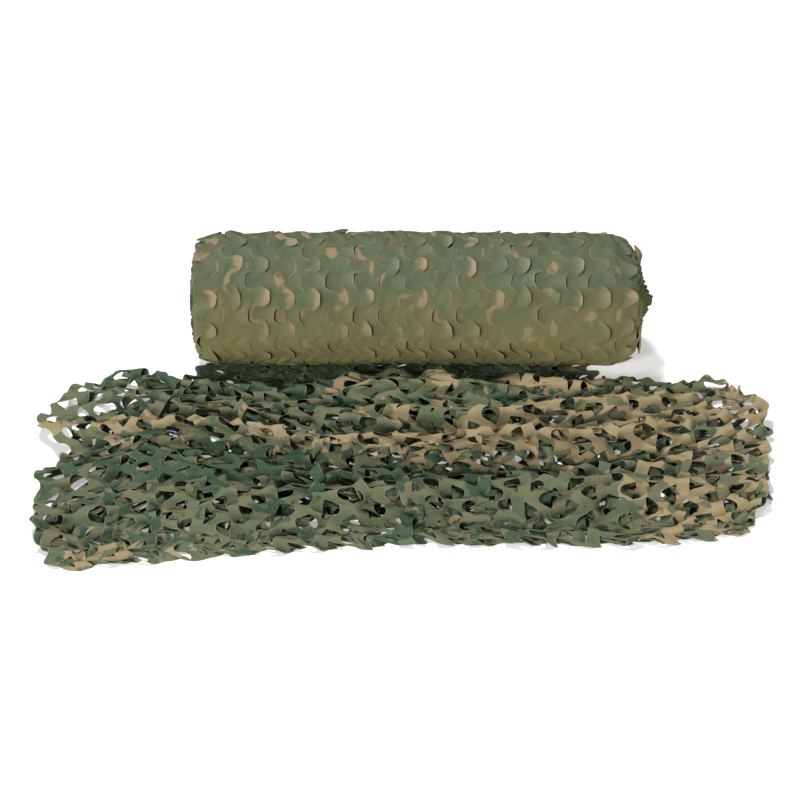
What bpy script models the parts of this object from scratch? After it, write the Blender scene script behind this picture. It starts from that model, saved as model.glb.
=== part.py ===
"""Camouflage net: a bulk roll of incised netting with its free end drawn out, spread wide and bunched in folds.

Metres, +Z up, standing on z = 0. X runs along the roll, the free end is drawn out towards -Y, and the origin
is the middle of the footprint.
"""

import math
from typing import NamedTuple

import bmesh
import bpy
import numpy as np

# Driving dimensions
ROLL_LENGTH = 1.476  # between the outer turns' edges; with its bulged ends the net is 1.5 wide
ROLL_RADIUS = 0.210
ROLL_MIDDLE = (0.045, 0.512)  # middle of the roll on the floor, in x and y
CLOTH_THICKNESS = 0.003
CONTACT_GAP = 0.0003  # clearance between the roll and the cloth that leaves it

# The wound roll's mesh
ROLL_STEPS_ROUND = 40
ROLL_STEPS_ALONG = 24
END_RINGS = 8  # rings on each end face
SHOULDER_STEPS = 5
LEFT_SHOULDER = 0.080  # radius of the soft corner between the roll's side and its left end face
RIGHT_SHOULDER = 0.105
END_BULGE = 0.012  # the middle turns stand out this far past the outer ones
END_TURN_RIDGE = 0.007  # relief of the wound layers on an end face
TURNS_ON_END = 2  # ridges from the middle of an end face to its edge

# The loose end's mesh: cells between the two selvedges and from the roll to the cut end
CELLS_ACROSS = 36
CELLS_ALONG = 38
OPENING_PITCH = (4, 4)  # cells from one opening to the next, across and along, with a second row midway
OPENING_REACH = 0.88  # half of an opening, in cells
OPENING_FULLNESS = 0.66  # how far its rounded corners reach, as a share of that half
OPENING_BOW = 0.30  # its two tips are drawn back towards the roll by this much, in cells
SOLID_MARGIN = 2  # whole cells left along every edge
EDGE_TOOTH = 0.014  # leaf tips stand out and in by up to this much along the edges
FOLD_HEIGHT_WAVES = ((1.3, 0.4, 0.16), (3.7, 1.9, 0.10))  # waves across, phase, share of a fold's height
FOLD_PLACE_WAVES = ((0.9, 1.1, 0.010), (2.3, 0.3, 0.006))  # waves across, phase, shift along the cloth


class RollSection(NamedTuple):
    """A round section of the roll: its place as a share of the length, and its share of the full radius."""

    place: float
    girth: float


ROLL_SECTIONS = (
    RollSection(0.00, 0.975),
    RollSection(0.12, 0.995),
    RollSection(0.35, 1.000),
    RollSection(0.60, 0.990),
    RollSection(0.85, 0.997),
    RollSection(1.00, 0.970),
)


class Row(NamedTuple):
    """A row of the loose cloth, from selvedge to selvedge.

    along is the share of the cloth's length; left_x and right_x are its two ends; ahead is how far it lies in
    front of the roll's middle line at the left end, at a quarter, in the middle, at three quarters and at the
    right end.
    """

    along: float
    left_x: float
    right_x: float
    ahead: tuple


ROWS = (
    Row(0.00, -0.765, 0.560, (0.065, 0.065, 0.065, 0.065, 0.065)),
    Row(0.11, -0.785, 0.585, (0.185, 0.190, 0.190, 0.190, 0.190)),
    Row(0.19, -0.895, 0.695, (0.200, 0.275, 0.285, 0.275, 0.215)),
    Row(0.28, -1.015, 0.845, (0.170, 0.345, 0.390, 0.355, 0.215)),
    Row(0.38, -1.115, 0.985, (0.245, 0.415, 0.505, 0.450, 0.195)),
    Row(0.50, -1.200, 1.085, (0.460, 0.530, 0.635, 0.580, 0.290)),
    Row(0.60, -1.135, 1.100, (0.595, 0.620, 0.715, 0.670, 0.455)),
    Row(0.72, -1.145, 1.070, (0.800, 0.760, 0.800, 0.765, 0.640)),
    Row(0.86, -1.110, 1.030, (1.040, 0.965, 0.955, 0.930, 0.860)),
    Row(1.00, -1.035, 0.945, (1.220, 1.160, 1.100, 1.105, 1.030)),
)


class Fold(NamedTuple):
    """A ridge across the cloth: its crest and half width as shares of the length, heights, and lean forwards."""

    name: str
    along: float
    half_width: float
    left: float
    middle: float
    right: float
    lean: float


FOLDS = (
    Fold("behind_the_neck", 0.185, 0.080, 0.020, 0.055, 0.045, 0.010),
    Fold("rear_step", 0.365, 0.085, 0.035, 0.065, 0.030, 0.015),
    Fold("main_crest", 0.560, 0.105, 0.060, 0.108, 0.050, 0.040),
    Fold("valley_step", 0.705, 0.055, 0.040, 0.024, 0.034, 0.006),
    Fold("front_crest", 0.845, 0.100, 0.075, 0.088, 0.070, 0.020),
)


def through(places, values, at):
    """A smooth curve through (places, values), read at the places at: cubic pieces that share their slopes."""
    places = np.asarray(places, float)
    values = np.asarray(values, float)
    slopes = np.gradient(values, places)
    piece = np.clip(np.searchsorted(places, at, side="right") - 1, 0, len(places) - 2)
    width = places[piece + 1] - places[piece]
    t = (at - places[piece]) / width
    return (
        (2 * t**3 - 3 * t**2 + 1) * values[piece]
        + (t**3 - 2 * t**2 + t) * width * slopes[piece]
        + (3 * t**2 - 2 * t**3) * values[piece + 1]
        + (t**3 - t**2) * width * slopes[piece + 1]
    )


def waves(across, table):
    """The sum of a table of sine waves, each as (waves from edge to edge, phase, size)."""
    return sum(size * np.sin(math.pi * count * across + phase) for count, phase, size in table)


def cloth_place(across, along):
    """Where the underside of the loose cloth lies: across is -1 to 1 between selvedges, along is 0 to 1.

    Each row's five depths are joined across by a quartic curve through them, and the rows are joined along the
    cloth by a smooth curve. Each fold then adds a rounded ridge that leans forwards as it rises.
    """
    stations = [row.along for row in ROWS]
    left = through(stations, [row.left_x for row in ROWS], along)
    right = through(stations, [row.right_x for row in ROWS], along)
    depths = [through(stations, [row.ahead[k] for row in ROWS], along) for k in range(5)]
    knots = np.linspace(-1.0, 1.0, 5)
    ahead = np.zeros_like(across)
    for k, depth in enumerate(depths):
        weight = np.ones_like(across)
        for other in np.delete(knots, k):
            weight = weight * (across - other) / (knots[k] - other)
        ahead = ahead + weight * depth
    height = np.zeros_like(across)
    shifted = along + waves(across, FOLD_PLACE_WAVES)
    uneven = 1.0 + waves(across, FOLD_HEIGHT_WAVES)
    for fold in FOLDS:
        sides = np.where(across < 0, fold.left, fold.right)
        crest = (fold.middle + (sides - fold.middle) * across**2) * uneven
        off = np.clip((shifted - fold.along) / fold.half_width, -1.0, 1.0)
        ridge = 0.5 + 0.5 * np.cos(math.pi * off)
        height = height + crest * ridge
        ahead = ahead + fold.lean * (crest / fold.middle) * ridge**2
    x = left + (right - left) * (across + 1.0) / 2.0
    return x, -ahead, height


def edge_teeth(number):
    """How far the leaf tip with this number stands out of a cut edge: a wave that never falls into step."""
    return EDGE_TOOTH * np.sin(2.6 * number + 1.3 * np.sin(0.9 * number))


def material(name, colour, roughness):
    """A plain matt Principled material."""
    made = bpy.data.materials.new(name)
    made.use_nodes = True
    shader = made.node_tree.nodes["Principled BSDF"]
    shader.inputs["Base Color"].default_value = (*colour, 1.0)
    shader.inputs["Roughness"].default_value = roughness
    shader.inputs["Metallic"].default_value = 0.0
    return made


def add_object(bm, name, collection, finish):
    """Makes a named object from a bmesh and gives it its material."""
    mesh = bpy.data.meshes.new(name)
    bm.to_mesh(mesh)
    bm.free()
    mesh.materials.append(finish)
    made = bpy.data.objects.new(name, mesh)
    made.location = (*ROLL_MIDDLE, 0.0)
    collection.objects.link(made)
    return made


def grid_of_cells(bm, across, along):
    """A flat grid whose corners stand on whole numbers, from 0 to across and from 0 to along."""
    bmesh.ops.create_grid(bm, x_segments=across, y_segments=along, size=1.0)
    for corner in bm.verts:
        corner.co.x = round((corner.co.x + 1.0) * across / 2.0)
        corner.co.y = round((corner.co.y + 1.0) * along / 2.0)


def put_corners(bm, x, y, z):
    """Moves each corner of a bmesh to its place in three arrays."""
    for corner, place in zip(bm.verts, np.column_stack((x, y, z))):
        corner.co = place


def end_profile(shoulder):
    """An end's profile, from the middle of its face round its shoulder: distance from the roll's middle, radius."""
    flat_to = ROLL_RADIUS - shoulder
    half = ROLL_LENGTH / 2.0
    rings = np.arange(END_RINGS) / END_RINGS
    face = [(half + END_BULGE * (1.0 - ring**2), flat_to * ring) for ring in rings]
    corner = [
        (half - shoulder * (1.0 - math.cos(turn)), flat_to + shoulder * math.sin(turn))
        for turn in np.linspace(0.0, math.pi / 2.0, SHOULDER_STEPS + 1)
    ]
    return np.array(face + corner)


def roll_profile():
    """The roll's profile from the middle of its left end face over its side to the right: place along x, radius."""
    left = end_profile(LEFT_SHOULDER) * (-1.0, 1.0)
    right = end_profile(RIGHT_SHOULDER)[::-1]
    side_x = np.linspace(left[-1, 0], right[0, 0], ROLL_STEPS_ALONG + 1)[1:-1]
    side = np.column_stack((side_x, np.full_like(side_x, ROLL_RADIUS)))
    return np.vstack((left, side, right))


def build_roll(collection):
    """The wound roll: its profile turned about its axis, uneven in girth, with spiral layers on its end faces.

    The underside is pressed flat on the floor. The first corner in front of the flat spot stands clear of the
    loose cloth, which leaves the roll there.
    """
    profile = roll_profile()
    step = 2.0 * math.pi / ROLL_STEPS_ROUND
    bm = bmesh.new()
    grid_of_cells(bm, len(profile) - 1, ROLL_STEPS_ROUND)
    station = np.array([corner.co.x for corner in bm.verts]).astype(int)
    turn = np.array([corner.co.y for corner in bm.verts]) * step
    x = profile[station, 0]
    radius = profile[station, 1]
    upper = 0.5 + 0.5 * np.sin(turn)
    place = np.clip(x / ROLL_LENGTH + 0.5, 0.0, 1.0)
    girth = through([s.place for s in ROLL_SECTIONS], [s.girth for s in ROLL_SECTIONS], place)
    shoulder = np.where(x < 0.0, LEFT_SHOULDER, RIGHT_SHOULDER)
    on_end = np.clip((ROLL_RADIUS - shoulder - radius) / shoulder, 0.0, 1.0)
    layers = np.sin(2.0 * math.pi * (TURNS_ON_END * radius / ROLL_RADIUS) - turn * np.sign(x))
    x = x + np.sign(x) * END_TURN_RIDGE * layers * on_end
    radius = radius * (1.0 + (girth - 1.0) * upper)
    axis_height = ROLL_RADIUS * math.cos(2.0 * step) + CLOTH_THICKNESS + CONTACT_GAP
    y = radius * np.cos(turn)
    z = np.maximum(axis_height + radius * np.sin(turn), 0.0)
    put_corners(bm, x, y, z)
    bmesh.ops.remove_doubles(bm, verts=bm.verts, dist=0.00005)
    bmesh.ops.recalc_face_normals(bm, faces=bm.faces)
    return add_object(bm, "net_roll", collection, material("wound_net", (0.115, 0.150, 0.080), 0.85))


def has_opening(i, j):
    """Whether the grid's corner (i, j) is the middle of an opening: two sets of rows, the second set midway."""
    inside = SOLID_MARGIN <= i <= CELLS_ACROSS - SOLID_MARGIN and SOLID_MARGIN <= j <= CELLS_ALONG - SOLID_MARGIN
    pitch_across, pitch_along = OPENING_PITCH
    on_first = i % pitch_across == 0 and j % pitch_along == 0
    on_second = i % pitch_across == pitch_across // 2 and j % pitch_along == pitch_along // 2
    return inside and (on_first or on_second)


def cut_opening(bm, middle):
    """Cuts one opening: its middle corner becomes an eight-sided face, bowed to a crescent, which is deleted."""
    centre = middle.co.copy()
    cut = bmesh.ops.bevel(bm, geom=[middle], affect="VERTICES", offset=OPENING_REACH, segments=2, profile=0.5)
    rounded = OPENING_REACH * OPENING_FULLNESS
    for corner in cut["verts"]:
        off = corner.co - centre
        if min(abs(off.x), abs(off.y)) > 0.01:
            off.x = math.copysign(rounded, off.x)
            off.y = math.copysign(rounded, off.y)
        off.y += OPENING_BOW * (off.x / OPENING_REACH) ** 2
        corner.co = centre + off
    bmesh.ops.delete(bm, geom=cut["faces"], context="FACES")


def build_loose_end(collection):
    """The loose end: a grid with its openings cut, laid in its folds, toothed at its edges and thickened."""
    bm = bmesh.new()
    grid_of_cells(bm, CELLS_ACROSS, CELLS_ALONG)
    for middle in [corner for corner in bm.verts if has_opening(corner.co.x, corner.co.y)]:
        cut_opening(bm, middle)
    i = np.array([corner.co.x for corner in bm.verts])
    j = np.array([corner.co.y for corner in bm.verts])
    x, y, z = cloth_place(2.0 * i / CELLS_ACROSS - 1.0, 1.0 - j / CELLS_ALONG)
    x = x + np.where(i == 0, -edge_teeth(j), 0.0) + np.where(i == CELLS_ACROSS, edge_teeth(j), 0.0)
    y = y - np.where(j == 0, edge_teeth(i), 0.0)
    put_corners(bm, x, y, z)
    made = add_object(bm, "net_loose_end", collection, material("spread_net", (0.120, 0.135, 0.075), 0.85))
    thickness = made.modifiers.new("cloth_thickness", "SOLIDIFY")
    thickness.thickness = CLOTH_THICKNESS
    thickness.offset = 1.0
    thickness.use_even_offset = True
    return made


def main():
    """Clears the scene and builds the two solids."""
    for old in list(bpy.data.objects):
        bpy.data.objects.remove(old)
    collection = bpy.data.collections.new("camouflage_net")
    bpy.context.scene.collection.children.link(collection)
    build_roll(collection)
    build_loose_end(collection)


main()
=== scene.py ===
"""Camouflage net: a bulk roll of incised netting, its free end drawn out, spread wide and bunched in folds.

Metres, +Z up, standing on z = 0. X runs along the roll and the free end is drawn out towards -Y.
"""

import math
from typing import NamedTuple

import bpy
import numpy as np
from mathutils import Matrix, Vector


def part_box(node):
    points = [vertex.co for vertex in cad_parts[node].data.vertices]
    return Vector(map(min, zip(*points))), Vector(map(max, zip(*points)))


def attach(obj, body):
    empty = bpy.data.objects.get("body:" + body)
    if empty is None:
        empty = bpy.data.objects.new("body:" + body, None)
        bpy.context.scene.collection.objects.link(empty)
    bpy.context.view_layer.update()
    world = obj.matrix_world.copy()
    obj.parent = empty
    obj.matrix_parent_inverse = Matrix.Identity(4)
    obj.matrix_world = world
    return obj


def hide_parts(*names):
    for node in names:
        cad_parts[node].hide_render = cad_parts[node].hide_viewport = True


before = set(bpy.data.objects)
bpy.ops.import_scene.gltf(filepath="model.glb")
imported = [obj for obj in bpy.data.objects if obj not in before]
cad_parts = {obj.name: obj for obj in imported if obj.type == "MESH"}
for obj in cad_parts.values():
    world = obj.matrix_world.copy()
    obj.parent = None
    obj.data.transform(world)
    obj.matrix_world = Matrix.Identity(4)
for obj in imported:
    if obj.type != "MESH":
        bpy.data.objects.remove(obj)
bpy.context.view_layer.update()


# ----------------------------------------------------------------------
# Camera
#
# It looks along +Y and down on the net from about seven metres, so that the roll's ends hardly show and the
# spread cloth is seen over its folds.

CAMERA_ELEVATION = math.radians(32.0)
CAMERA_DISTANCE = 7.0
CAMERA_LENS = 98.5
CAMERA_SENSOR = 36.0
AIM_LEFT_OF_ROLL = 0.071  # from the roll's middle to the point aimed at, on the floor
AIM_AHEAD_OF_ROLL = 0.295

roll_low, roll_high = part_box("net_roll")
ROLL_MIDDLE_X = (roll_low.x + roll_high.x) / 2.0
ROLL_MIDDLE_Y = (roll_low.y + roll_high.y) / 2.0


def placed(name, data):
    """A new object in the scene that shows this data."""
    made = bpy.data.objects.new(name, data)
    bpy.context.scene.collection.objects.link(made)
    return made


camera = placed("camera", bpy.data.cameras.new("camera"))
bpy.context.scene.camera = camera
camera.data.lens = CAMERA_LENS
camera.data.sensor_width = CAMERA_SENSOR
camera_aim = Vector((ROLL_MIDDLE_X - AIM_LEFT_OF_ROLL, ROLL_MIDDLE_Y - AIM_AHEAD_OF_ROLL, 0.0))
camera_back = Vector((0.0, -math.cos(CAMERA_ELEVATION), math.sin(CAMERA_ELEVATION)))
camera.location = camera_aim + CAMERA_DISTANCE * camera_back
camera.rotation_euler = (-camera_back).to_track_quat("-Z", "Y").to_euler()


# ----------------------------------------------------------------------
# The loose end
#
# About two metres of the net, drawn off the roll and spread to half as wide again. It is one thin sheet of
# printed and coated cloth, slit in waving lines of short cuts, so that it opens into leaves when it is pulled
# sideways. It lies loose on the floor, bunched in folds that run along the roll.

NET_WIDTH = 1.500
RIBBONS = 36  # strips of cloth between neighbouring lines of cuts
RIBBON_WIDTH = NET_WIDTH / RIBBONS
ROLL_RADIUS = 0.210
ROLL_AXIS_HEIGHT = roll_high.z - ROLL_RADIUS
REPEATS_ROUND_ROLL = 12
CUT_REPEAT = math.tau * ROLL_RADIUS / REPEATS_ROUND_ROLL  # from one cut to the next in a line
BRIDGE_SHARE = 0.29  # of each repeat is left uncut, where two ribbons are joined
CUT_WAVE = 0.023  # the lines of cuts swing about this far to each side
CUT_ROUNDNESS = 0.16  # how much fuller than a plain wave their bends are
SELVEDGE_SWING = 0.5  # the share of that which the selvedges keep
HEM_NOTCH = 0.034  # depth of the notches between the round leaves of the cut end
HEM_ROWS = 10  # rows over which they are drawn in
CLOTH_THICKNESS = 0.0008
CRISP_FROM = math.radians(62.0)  # edges that bend more than this stay crisp, as the cut rims do


class Stretch(NamedTuple):
    """A stretch of the net: ribbons across, repeats of the cuts along, and the rows and quads in each."""

    ribbons: int
    repeats: int
    rows: int
    quads: int


LOOSE_TOP = Stretch(RIBBONS, 20, 14, 4)


class Row(NamedTuple):
    """A row of the loose cloth from selvedge to selvedge, in metres from the roll's middle.

    along is the share of its length, and ahead is how far it lies in front of the roll's middle line at its
    left end, a quarter, the middle, three quarters and its right end.
    """

    along: float
    left_x: float
    right_x: float
    ahead: tuple


ROWS = (
    Row(0.00, -0.765, 0.560, (0.065, 0.065, 0.065, 0.065, 0.065)),
    Row(0.09, -0.785, 0.585, (0.185, 0.190, 0.190, 0.190, 0.190)),
    Row(0.19, -0.895, 0.695, (0.200, 0.275, 0.285, 0.275, 0.215)),
    Row(0.28, -1.015, 0.845, (0.170, 0.345, 0.390, 0.355, 0.215)),
    Row(0.38, -1.115, 0.985, (0.245, 0.415, 0.505, 0.450, 0.195)),
    Row(0.50, -1.200, 1.085, (0.460, 0.530, 0.635, 0.580, 0.290)),
    Row(0.60, -1.135, 1.100, (0.595, 0.620, 0.715, 0.670, 0.455)),
    Row(0.72, -1.145, 1.070, (0.800, 0.760, 0.800, 0.765, 0.640)),
    Row(0.86, -1.110, 1.030, (1.040, 0.965, 0.955, 0.930, 0.860)),
    Row(1.00, -1.035, 0.945, (1.220, 1.160, 1.100, 1.105, 1.030)),
)


class Fold(NamedTuple):
    """A ridge across the cloth: its crest and half width as shares of the length, heights, lean forwards."""

    name: str
    along: float
    half_width: float
    left: float
    middle: float
    right: float
    lean: float


FOLDS = (
    Fold("behind_the_neck", 0.200, 0.075, 0.020, 0.036, 0.035, 0.008),
    Fold("rear_step", 0.365, 0.085, 0.035, 0.065, 0.030, 0.015),
    Fold("main_crest", 0.560, 0.105, 0.060, 0.108, 0.050, 0.040),
    Fold("valley_step", 0.705, 0.055, 0.040, 0.024, 0.034, 0.006),
    Fold("front_crest", 0.845, 0.100, 0.075, 0.088, 0.070, 0.020),
)
FOLD_HEIGHT_WAVES = ((1.3, 0.4, 0.16), (3.7, 1.9, 0.10))  # waves across, phase, share of a fold's height
FOLD_PLACE_WAVES = ((0.9, 1.1, 0.010), (2.3, 0.3, 0.006))  # waves across, phase, shift along the cloth
WRINKLES_ALONG = 11.0  # small wrinkles from the roll to the cut end
WRINKLE_HEIGHT = 0.024
WRINKLE_PLACE_WAVES = ((2.1, 0.7, 0.55), (4.6, 2.3, 0.30), (7.3, 1.2, 0.16))
WRINKLE_FROM = (0.10, 0.08)  # share of the length where the wrinkles begin, and over which they grow
WRINKLE_SIDES = (3.2, 1.05, 0.25)  # how steeply they fade to the selvedges, where to, and the least of them
# slanting wrinkles: waves along, waves across, phase, half height
SLANTING_WRINKLES = ((6.3, 5.2, 0.6, 0.008), (5.1, -6.6, 2.2, 0.008), (13.0, 9.0, 1.1, 0.004))
# where the cloth is drawn together and apart: waves along, waves across, phase, shift
GATHERS_ALONG = ((4.3, 0.9, 0.4, 0.010), (7.1, -1.6, 2.0, 0.0055), (2.2, 2.4, 1.0, 0.014))
GATHERS_ACROSS = ((1.3, 2.2, 0.5, 0.012), (2.1, -3.7, 1.9, 0.008))
HEM_BAY = (-0.70, 0.12, 0.080)  # a bay in the cut end by the left corner: place across, reach, depth
LEFT_SPREAD = 0.028  # how much further the left selvedge is pulled out
# dents in the left selvedge: place along, reach, shift to the right, shift forwards
LEFT_DENTS = ((0.145, 0.035, 0.0, 0.050), (0.37, 0.060, 0.0, 0.055), (0.61, 0.045, 0.070, 0.0))
NECK_DRAWN_IN = (0.060, 0.015)  # how far the two selvedges are drawn in by the roll
NECK_REACH = 0.17  # share of the length over which they widen again
BELL_FALL = 0.7  # which leaves half of a bell's height at its reach

RELAX_STEPS = 320
FREE_STEPS = 20  # the last steps, in which nothing draws the net towards its surface
GUIDANCE = 0.06
SELVEDGE_GUIDANCE = 4.0  # how much more firmly the selvedges follow the surface
# ties between the corners of a ribbon: rows apart, places apart, strength, share by which they may be closer
TIES = (
    (0, 1, 1.0, 0.0), (1, 0, 1.0, 0.0), (1, 1, 0.7, 0.0), (1, -1, 0.7, 0.0),
    (2, 0, 0.5, 0.04), (4, 0, 0.3, 0.07), (0, 2, 0.5, 0.04), (0, 4, 0.3, 0.05),
)
BRIDGE_TIE = (0.4, 0.04)  # strength and share across a bridge
TONGUE_DROOP = 0.018  # how far a tongue's tip then hangs down by its own weight
TONGUE_HANGS = (0.5, 1.2)  # each one's own share of that
HOLLOW_HANGS = (-0.3, 0.1)  # the same for the hollow edge across the cut from it
HANG_SHARPNESS = 1.5
STEEPEST_LEAF = 0.55  # rise over run across a leaf, once the cloth's weight has laid it down
SMOOTHINGS = 2  # the cloth's own stiffness rounds the points at the ends of the cuts
ROLL_CLEARANCE = 0.004
FLOOR_CLEARANCE = 0.0012
TONGUE_LIFT = 0.018  # how far a cut's round tongue starts down
TONGUE_STARTS = (0.35, 1.0)  # each one's own share of that
HOLLOW_DROP = 0.010  # the same two for the hollow edge, which starts the other way
HOLLOW_STARTS = (0.1, 1.0)
UPWARD_TONGUES = 0.06  # share of the tongues that start up
UPWARD_LIFT = 0.6  # and how far, as a share of the others' way down
START_SHARPNESS = 2.0
CRUMPLE = 0.0008  # the corners start this far off their places
NET_SEED = 7


def through(places, values, at):
    """A smooth curve through (places, values), read at other places: cubic pieces that share their slopes."""
    places = np.asarray(places, float)
    values = np.asarray(values, float)
    slopes = np.gradient(values, places)
    piece = np.clip(np.searchsorted(places, at, side="right") - 1, 0, len(places) - 2)
    width = places[piece + 1] - places[piece]
    t = (at - places[piece]) / width
    return (
        (2 * t**3 - 3 * t**2 + 1) * values[piece]
        + (t**3 - 2 * t**2 + t) * width * slopes[piece]
        + (3 * t**2 - 2 * t**3) * values[piece + 1]
        + (t**3 - t**2) * width * slopes[piece + 1]
    )


def waves(across, table):
    """The sum of a table of sine waves, each as (waves from edge to edge, phase, size)."""
    return sum(size * np.sin(math.pi * count * across + phase) for count, phase, size in table)


def gathers(across, along, table):
    """The sum of a table of waves that run aslant over the cloth: waves along, waves across, phase, size."""
    return sum(
        size * np.sin(math.tau * (count_along * along + 0.5 * count_across * across) + phase)
        for count_along, count_across, phase, size in table
    )


def cloth_place(across, along):
    """The middle surface of the loose cloth: across is -1 to 1 between selvedges, along is 0 to 1.

    The rows' ends and their five depths are joined along the cloth by smooth curves, and across it by a
    quartic through the five. Each fold adds a rounded ridge that leans forwards as it rises, and small
    wrinkles wander across between the folds.
    """
    stations = [row.along for row in ROWS]
    left = through(stations, [row.left_x for row in ROWS], along)
    right = through(stations, [row.right_x for row in ROWS], along)
    knots = np.linspace(-1.0, 1.0, 5)
    ahead = np.zeros_like(across)
    for k, knot in enumerate(knots):
        weight = through(stations, [row.ahead[k] for row in ROWS], along)
        for other in np.delete(knots, k):
            weight = weight * (across - other) / (knot - other)
        ahead = ahead + weight
    height = np.zeros_like(across)
    shifted = along + waves(across, FOLD_PLACE_WAVES)
    uneven = 1.0 + waves(across, FOLD_HEIGHT_WAVES)
    for fold in FOLDS:
        sides = np.where(across < 0, fold.left, fold.right)
        crest = (fold.middle + (sides - fold.middle) * across**2) * uneven
        off = np.clip((shifted - fold.along) / fold.half_width, -1.0, 1.0)
        ridge = 0.5 + 0.5 * np.cos(math.pi * off)
        height = height + crest * ridge
        ahead = ahead + fold.lean * (crest / fold.middle) * ridge**2
    wrinkle = 0.5 + 0.5 * np.sin(math.tau * (WRINKLES_ALONG * along + waves(across, WRINKLE_PLACE_WAVES)))
    slope, edge, least = WRINKLE_SIDES
    grown = np.clip((along - WRINKLE_FROM[0]) / WRINKLE_FROM[1], 0.0, 1.0)
    spread = grown * np.clip(slope * (edge - np.abs(across)), least, 1.0)
    slanting = gathers(across, along, SLANTING_WRINKLES)
    height = height + (WRINKLE_HEIGHT * wrinkle + np.clip(slanting, 0.0, None)) * spread
    x = left + (right - left) * (across + 1.0) / 2.0
    return np.stack((ROLL_MIDDLE_X + x, ROLL_MIDDLE_Y - ahead, height), axis=-1)


class Lump(NamedTuple):
    """A tuft or hump of the upper layer: its middle and reach across and along, and its height."""

    name: str
    across: float
    along: float
    reach_across: float
    reach_along: float
    height: float


LUMPS = (
    Lump("wing_tuft", -0.90, 0.245, 0.100, 0.030, 0.036),
    Lump("left_tuft", -0.17, 0.120, 0.055, 0.034, 0.065),
    Lump("middle_tuft", 0.01, 0.110, 0.050, 0.034, 0.085),
    Lump("next_tuft", 0.21, 0.130, 0.055, 0.034, 0.070),
    Lump("right_tuft", 0.60, 0.135, 0.090, 0.034, 0.050),
    Lump("crest_hump", 0.28, 0.535, 0.160, 0.040, 0.026),
    Lump("left_hump", -0.42, 0.560, 0.180, 0.035, 0.020),
    Lump("front_hump", -0.20, 0.860, 0.220, 0.045, 0.018),
    Lump("front_right_hump", 0.55, 0.840, 0.160, 0.045, 0.020),
)


def bells(across, along, table, size):
    """The sum of a table of round, bell-shaped places, each times its field of this name."""
    total = np.zeros_like(across)
    for place in table:
        off_across = (across - place.across) / place.reach_across
        off_along = (along - place.along) / place.reach_along
        total += getattr(place, size) * np.exp(-BELL_FALL * (off_across**2 + off_along**2))
    return total


def top_place(across, along):
    """The upper layer of the loose cloth: its surface with its humps, drawn together in slanting waves.

    The bay in the cut end grows with the sixth power of the way along, and the dents in the left selvedge
    with the fourth power of the way across. The other way, both are bells.
    """
    inside = np.sin(math.pi * along)
    drawn_along = along + gathers(across, along, GATHERS_ALONG) * inside
    drawn_across = across + gathers(across, along, GATHERS_ACROSS) * (1.0 - across**2)
    place = cloth_place(drawn_across, drawn_along)
    place[..., 2] += bells(drawn_across, drawn_along, LUMPS, "height")
    across_bay, bay_reach, bay_depth = HEM_BAY
    place[..., 1] += bay_depth * along**6 * np.exp(-(((across - across_bay) / bay_reach) ** 2))
    for dent, reach, right, forwards in LEFT_DENTS:
        depth = np.exp(-(((along - dent) / reach) ** 2)) * np.clip(-across, 0.0, 1.0) ** 4
        place[..., 0] += right * depth
        place[..., 1] -= forwards * depth
    neck = np.clip(1.0 - along / NECK_REACH, 0.0, 1.0)
    left_in, right_in = NECK_DRAWN_IN
    place[..., 0] -= (LEFT_SPREAD - (LEFT_SPREAD + left_in) * neck) * np.clip(-across, 0.0, 1.0) ** 2
    place[..., 0] -= right_in * neck * np.clip(across, 0.0, 1.0) ** 2
    return place


def flat_net(net, wave):
    """The net lying flat and closed: u across it and v along it at every corner, [ribbon, row, place across].

    Every line of cuts swings across by wave * (cos(turn) - CUT_ROUNDNESS * cos(3 turn)), with one turn in
    each repeat, and the selvedges by a share of that. The last rows are drawn back at every second line,
    which leaves round leaves.
    """
    row = np.arange(net.repeats * net.rows + 1)[None, :, None]
    line = np.arange(net.ribbons)[:, None, None] + np.linspace(0.0, 1.0, net.quads + 1)
    turn = math.tau * row / net.rows
    swing = wave * (np.cos(turn) - CUT_ROUNDNESS * np.cos(3.0 * turn))
    inside = np.clip(np.minimum(line, net.ribbons - line), SELVEDGE_SWING, 1.0)
    u = (line - net.ribbons / 2.0) * RIBBON_WIDTH + inside * swing
    last = np.clip(1.0 - (row[:, -1:] - row) / HEM_ROWS, 0.0, 1.0) ** 2
    notch = 1.0 - np.abs(np.sin(math.pi * line / 2.0))
    return u, row * (CUT_REPEAT / net.rows) - HEM_NOTCH * last * notch


def bridged(net):
    """Where a ribbon is joined to the next, [line of cuts, row]: even lines half a repeat on from odd ones.

    A bridge reaches over the rows within half its share of the repeat, with a tenth of a row to spare.
    """
    row = np.arange(net.repeats * net.rows + 1)[None, :]
    line = np.arange(1, net.ribbons)[:, None]
    from_bridge = (row + np.where(line % 2 == 0, net.rows // 2, 0)) % net.rows
    return np.minimum(from_bridge, net.rows - from_bridge) <= BRIDGE_SHARE * net.rows / 2.0 + 0.1


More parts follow.
